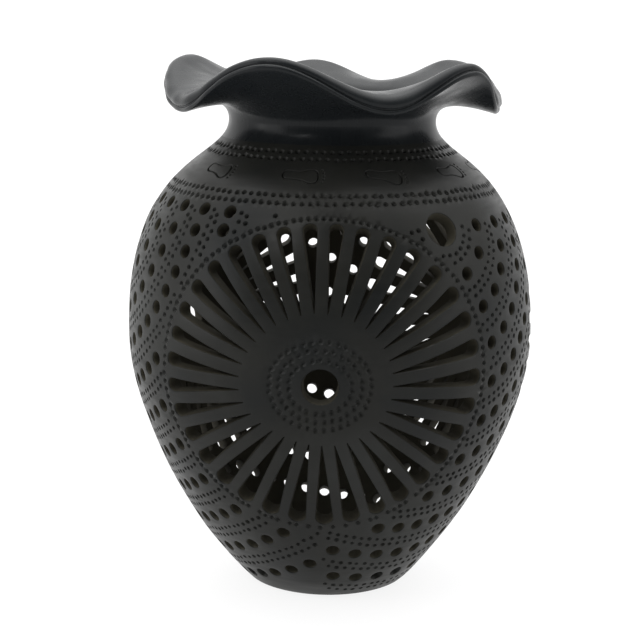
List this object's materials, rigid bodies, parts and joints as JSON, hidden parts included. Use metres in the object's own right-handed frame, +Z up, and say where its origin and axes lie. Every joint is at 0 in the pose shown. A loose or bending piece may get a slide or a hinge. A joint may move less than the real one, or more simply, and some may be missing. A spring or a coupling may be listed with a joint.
{
  "type": "pierced clay pot",
  "caption": "Round-bellied black clay pot with a short neck, a wide fluted rim and a belly pierced with sunburst medallions and fans of round holes.",
  "frame": {"origin": "centre of the flat face that the pot stands on", "axes": "+Z up along the pot's axis, -Y towards the front medallion, +X to the right of someone facing it"},
  "size_m": [0.1676, 0.1676, 0.222],
  "materials": {
    "burnished_clay": "burnished black clay, satin",
    "raw_clay": "unburnished black clay, matte"
  },
  "bodies": {
    "root": {"base_disc": "raw_clay", "belly_wall": "burnished_clay", "shoulder_ring": "burnished_clay", "neck_collar": "burnished_clay", "fluted_rim": "burnished_clay"}
  },
  "joints": []
}
